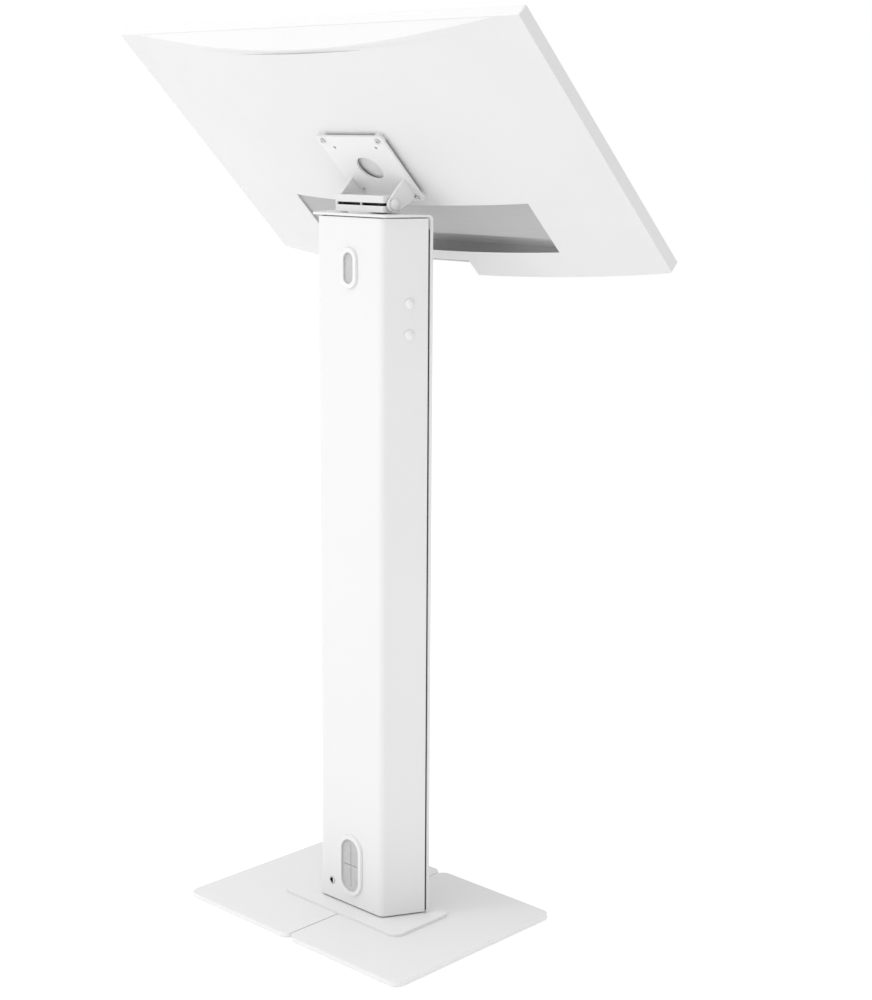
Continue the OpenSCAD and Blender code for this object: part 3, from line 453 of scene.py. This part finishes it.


# Black strips in the gaps beside the rear cover, put there as painted shade of the shadow gaps: their width,
# depth, length and rounding, how far their middle stands in from the cover's side and out in front of it, and
# their foot above the foot plate
GAP_SHADE_SIZE = Vector((0.0032, 0.0012, 0.917))
GAP_SHADE_EDGE = 0.0003
GAP_SHADE_IN = 0.0010
GAP_SHADE_OUT = 0.0014
GAP_SHADE_ABOVE = 0.004
# Half height of the slit between the jaws; the faces that line it are made black as painted shade of the slit
SLIT_HALF = 0.0022
# The clamp's screws beyond this distance from the middle are the outer ones, which are black
OUTER_SCREWS = 0.02
# Hollows in the back of the display: half width, lower end, upper end and floor
HOLLOWS = {
    "recess": (0.212, -0.139, -0.072, 0.020),
    "trough": (0.212, -0.161, -0.139, 0.026),
    "notch": (0.051, -0.250, -0.1785, 0.030),
}
# Room for the faces of a hollow's walls, which lie right on its limits
HOLLOW_SLACK = 0.00005


def lines_hollow(face):
    """Whether a face of the rear housing is a wall or floor of one of the hollows."""
    across, up, out = display_place(face.center)
    return any(
        abs(across) < half + HOLLOW_SLACK and low - HOLLOW_SLACK < up < top + HOLLOW_SLACK
        and out < floor + HOLLOW_SLACK
        for half, low, top, floor in HOLLOWS.values())


class KIOSK_OT_base(bpy.types.Operator):
    """Base halves and foot plate, with rounded plate edges"""
    bl_idname = "kiosk.base"
    bl_label = "Base"

    def execute(self, context):
        for node in ("base_plate_left", "base_plate_right", "foot_plate"):
            dress(node, sizes().plate_edge)
        for node in ("floor_pads", "base_screws"):
            repaint(node)
        return {"FINISHED"}


class KIOSK_OT_column(bpy.types.Operator):
    """Front panel with its cap, and the rear cover"""
    bl_idname = "kiosk.column"
    bl_label = "Column"

    def execute(self, context):
        for node in ("front_panel", "rear_cover"):
            dress(node, sizes().sheet_edge)
        cover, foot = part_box("rear_cover"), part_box("foot_plate")
        # Two black strips that paint the shade in the gaps beside the rear cover
        for side, name in ((-1, "cover_gap_shade_left"), (1, "cover_gap_shade_right")):
            low = Vector((
                side * (cover[1][0] - GAP_SHADE_IN), cover[0][1] - GAP_SHADE_OUT, foot[1][2] + GAP_SHADE_ABOVE))
            block(name, low, GAP_SHADE_SIZE, GAP_SHADE_EDGE, "rubber_black", "stand")
        return {"FINISHED"}


class KIOSK_OT_grommets(bpy.types.Operator):
    """Cable grommets: beaded rings and their membranes"""
    bl_idname = "kiosk.grommets"
    bl_label = "Cable grommets"

    def execute(self, context):
        for level in ("upper", "lower"):
            dress(level + "_grommet_ring", sizes().bead, segments=5)
            dress(level + "_grommet_membrane", sizes().sheet_edge / 3)
        return {"FINISHED"}


class KIOSK_OT_lock(bpy.types.Operator):
    """Key lock: plug, housing, nut and cam"""
    bl_idname = "kiosk.lock"
    bl_label = "Lock"

    def execute(self, context):
        for node in ("lock_plug", "lock_housing", "lock_nut", "lock_cam", "cam_screw"):
            dress(node, sizes().screw_edge)
        return {"FINISHED"}


class KIOSK_OT_studs(bpy.types.Operator):
    """Domed studs on the side of the cover"""
    bl_idname = "kiosk.studs"
    bl_label = "Side studs"

    def execute(self, context):
        dress("side_studs", sizes().screw_edge)
        repaint("stud_nuts")
        return {"FINISHED"}


class KIOSK_OT_clamp(bpy.types.Operator):
    """Clamp on the cap: disc, jaws and their screws"""
    bl_idname = "kiosk.clamp"
    bl_label = "Clamp"

    def execute(self, context):
        for node in ("lower_jaw", "upper_jaw"):
            piece = dress(node, sizes().block_edge)
            # The faces lining the slit get the black rubber finish as painted shade inside the slit
            piece.data.materials.append(material("rubber_black"))
            for face in piece.data.polygons:
                face.material_index = int(abs(face.center.z - PIVOT.z) < SLIT_HALF)
        dress("spacer_disc", sizes().screw_edge)
        screws = dress("clamp_screws", sizes().screw_edge)
        screws.data.materials.append(material("steel_black"))
        for face in screws.data.polygons:
            face.material_index = int(abs(face.center.x) > OUTER_SCREWS)
        return {"FINISHED"}


class KIOSK_OT_tilt_bracket(bpy.types.Operator):
    """Tilt shaft with its caps and washers, the ears and the display plate"""
    bl_idname = "kiosk.tilt_bracket"
    bl_label = "Tilt bracket"

    def execute(self, context):
        for node in ("tilt_ear_left", "tilt_ear_right", "vesa_plate"):
            dress(node, sizes().block_edge)
        for node in ("shaft_caps", "vesa_screws"):
            dress(node, sizes().screw_edge)
        repaint("tilt_shaft", "steel_black")
        repaint("thrust_washers")
        return {"FINISHED"}


class KIOSK_OT_display_back(bpy.types.Operator):
    """Rear housing of the display, with its socket recess in a grey made darker as painted shade"""
    bl_idname = "kiosk.display_back"
    bl_label = "Display back"

    def execute(self, context):
        piece = copy_node("rear_housing", "rear_housing_finished")
        piece.data.materials.append(material("display_white"))
        piece.data.materials.append(material("recess_grey_and_shade"))
        # Faces of the hollows get the recess finish: a grey panel, darker than its own colour as painted shade
        for face in piece.data.polygons:
            face.material_index = int(lines_hollow(face))
        smooth(piece)
        finish_piece(piece, "display_white", "head", "rear_housing")
        dress("power_button", sizes().screw_edge)
        return {"FINISHED"}


class KIOSK_OT_display_front(bpy.types.Operator):
    """Front bezel and touch glass"""
    bl_idname = "kiosk.display_front"
    bl_label = "Display front"

    def execute(self, context):
        dress("front_bezel", sizes().shell_edge)
        dress("touch_glass", sizes().sheet_edge)
        return {"FINISHED"}


class KIOSK_OT_inside(bpy.types.Operator):
    """Finishes of the parts inside the display and the column"""
    bl_idname = "kiosk.inside"
    bl_label = "Inside parts"

    def execute(self, context):
        done = set(MATERIALS.values())
        for node, target in frame["nodes"].items():
            if not any(m in done for m in target.data.materials):
                repaint(node)
        return {"FINISHED"}


class KIOSK_OT_stage(bpy.types.Operator):
    """Pale floor, soft lights and the camera"""
    bl_idname = "kiosk.stage"
    bl_label = "Stage"

    def execute(self, context):
        make_floor()
        make_lights()
        make_camera()
        return {"FINISHED"}


# Side of the floor, beyond which the pale horizon shows, its grey, and the faint glow that lightens it
FLOOR = 9
FLOOR_GREY = (0.93, 0.93, 0.93)
FLOOR_GLOW = 0.25


def make_floor():
    bpy.ops.object.select_all(action="DESELECT")
    bpy.ops.mesh.primitive_plane_add(size=FLOOR)
    floor = bpy.context.object
    floor.name = "studio_floor"
    g = Graph("studio_floor", roughness=0.9)
    g.colour(g.tint(g.noise(2, 2), FLOOR_GREY, 0.002))
    g.shader.inputs["Specular IOR Level"].default_value = 0.1
    g.shader.inputs["Emission Color"].default_value = (1, 1, 1, 1)
    g.shader.inputs["Emission Strength"].default_value = FLOOR_GLOW
    floor.data.materials.append(g.material)


def soft_light(name, place, aim, size, power):
    light = bpy.data.lights.new(name, "AREA")
    light.shape = "DISK"
    light.size = size
    light.energy = power
    lamp = bpy.data.objects.new(name, light)
    bpy.context.scene.collection.objects.link(lamp)
    lamp.location = place
    lamp.rotation_euler = (Vector(aim) - Vector(place)).to_track_quat("-Z", "Y").to_euler()


# Brightness of the sky straight above, and of its walls above the pale band at the horizon
SKY_TOP = 0.90
SKY_SIDE = 0.74
# Heights on the sky, from 0 at the horizon to 1 straight above, where the band ends and the walls start
BAND_END = 0.12
WALLS_START = 0.22


def make_lights():
    world = bpy.data.worlds.new("studio")
    bpy.context.scene.world = world
    world.use_nodes = True
    nodes, links = world.node_tree.nodes, world.node_tree.links
    background = nodes["Background"]
    direction = nodes.new("ShaderNodeTexCoord")
    height = nodes.new("ShaderNodeSeparateXYZ")
    ramp = nodes.new("ShaderNodeValToRGB")
    stops = ramp.color_ramp.elements
    stops[0].position, stops[0].color = BAND_END, (1, 1, 1, 1)
    stops[1].position, stops[1].color = 1.0, (SKY_TOP, SKY_TOP, SKY_TOP, 1)
    side = stops.new(WALLS_START)
    side.color = (SKY_SIDE, SKY_SIDE, SKY_SIDE, 1)
    links.new(direction.outputs["Generated"], height.inputs[0])
    links.new(height.outputs["Z"], ramp.inputs["Fac"])
    links.new(ramp.outputs["Color"], background.inputs["Color"])
    background.inputs["Strength"].default_value = 1.0
    soft_light("top_light", (0.3, 0.9, 3.4), (0, 0, 0.5), 2.6, 30)
    soft_light("side_light", (1.5, 2.7, 2.3), (0, 0, 0.7), 0.9, 20)
    settings = bpy.context.scene.view_settings
    settings.view_transform = "Standard"
    settings.exposure = 0.0


# Camera: its place, its heading, tilt down and roll in degrees, its lens and sensor in millimetres,
# and the farthest distance that it sees
CAMERA_PLACE = (-1.6954, 1.6482, 1.0521)
CAMERA_HEADING = 223.613
CAMERA_DOWN = 11.40
CAMERA_ROLL = 0.396
CAMERA_LENS = 65.53
CAMERA_SENSOR = 36
CAMERA_REACH = 60


def make_camera():
    data = bpy.data.cameras.new("camera")
    data.lens = CAMERA_LENS
    data.sensor_width = CAMERA_SENSOR
    data.clip_end = CAMERA_REACH
    camera = bpy.data.objects.new("camera", data)
    bpy.context.scene.collection.objects.link(camera)
    turn = (Matrix.Rotation(math.radians(CAMERA_HEADING), 3, "Z")
            @ Matrix.Rotation(math.radians(90 - CAMERA_DOWN), 3, "X")
            @ Matrix.Rotation(math.radians(CAMERA_ROLL), 3, "Z"))
    camera.location = CAMERA_PLACE
    camera.rotation_euler = turn.to_euler()
    bpy.context.scene.camera = camera


class KIOSK_PT_panel(bpy.types.Panel):
    """Sidebar panel that lists the sizes, the colours and the pieces"""
    bl_idname = "KIOSK_PT_panel"
    bl_label = "Touchscreen kiosk"
    bl_space_type = "VIEW_3D"
    bl_region_type = "UI"
    bl_category = "Kiosk"

    def draw(self, context):
        for group in (context.scene.kiosk_sizes, context.scene.kiosk_finishes):
            box = self.layout.box()
            for name in group.__annotations__:
                box.prop(group, name)
        for operator in PIECES:
            self.layout.operator(operator.bl_idname)


PIECES = (
    KIOSK_OT_base, KIOSK_OT_column, KIOSK_OT_grommets, KIOSK_OT_lock, KIOSK_OT_studs, KIOSK_OT_clamp,
    KIOSK_OT_tilt_bracket, KIOSK_OT_display_back, KIOSK_OT_display_front, KIOSK_OT_inside,
    KIOSK_OT_stage,
)
CLASSES = (KioskSizes, KioskFinishes, *PIECES, KIOSK_PT_panel)


def register():
    for cls in CLASSES:
        bpy.utils.register_class(cls)
    bpy.types.Scene.kiosk_sizes = PointerProperty(type=KioskSizes)
    bpy.types.Scene.kiosk_finishes = PointerProperty(type=KioskFinishes)


def unregister():
    del bpy.types.Scene.kiosk_finishes
    del bpy.types.Scene.kiosk_sizes
    for cls in reversed(CLASSES):
        bpy.utils.unregister_class(cls)


def main():
    register()
    bpy.ops.kiosk.base()
    bpy.ops.kiosk.column()
    bpy.ops.kiosk.grommets()
    bpy.ops.kiosk.lock()
    bpy.ops.kiosk.studs()
    bpy.ops.kiosk.clamp()
    bpy.ops.kiosk.tilt_bracket()
    bpy.ops.kiosk.display_back()
    bpy.ops.kiosk.display_front()
    bpy.ops.kiosk.inside()
    bpy.ops.kiosk.stage()


if __name__ == "__main__":
    main()
